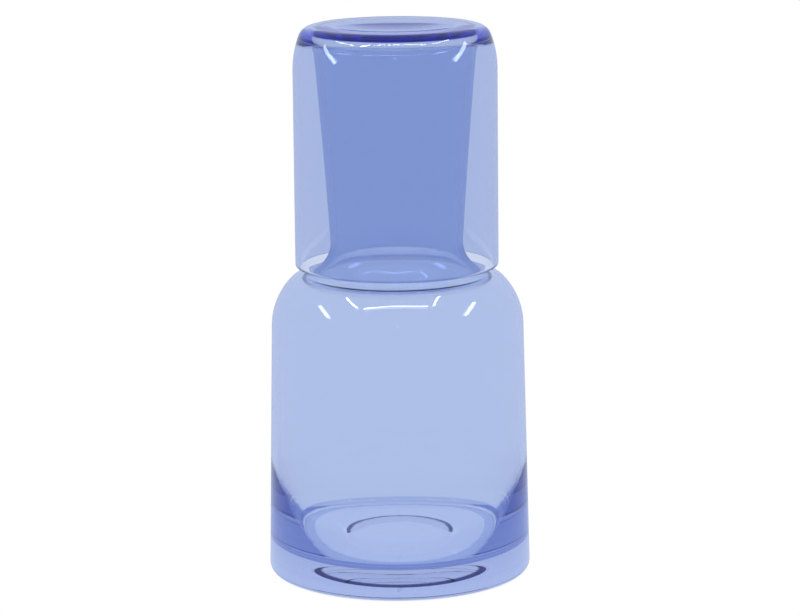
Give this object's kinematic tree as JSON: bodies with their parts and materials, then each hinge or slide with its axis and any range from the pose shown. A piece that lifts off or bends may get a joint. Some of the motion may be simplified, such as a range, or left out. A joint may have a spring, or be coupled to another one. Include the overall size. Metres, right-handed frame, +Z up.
{
  "type": "bedside carafe with tumbler",
  "caption": "Tinted clear glass carafe with round shoulder, flared neck and thick foot, and a tumbler put over the neck upside down.",
  "frame": {"origin": "centre of the carafe's standing ring, at the bottom of the foot", "axes": "+Z up along the common axis of carafe and tumbler; the glass is round, so X and Y are free"},
  "size_m": [0.09, 0.09, 0.1879],
  "materials": {
    "carafe_glass": "clear, smooth, periwinkle blue",
    "tumbler_glass": "clear, smooth, periwinkle blue"
  },
  "bodies": {
    "carafe": {"carafe": "carafe_glass"},
    "tumbler": {"tumbler": "tumbler_glass"}
  },
  "joints": [
    {"name": "tumbler_lift", "type": "slide", "parent": "carafe", "child": "tumbler", "axis": [0, 0, 1], "range_m": [0, 0.085]}
  ]
}
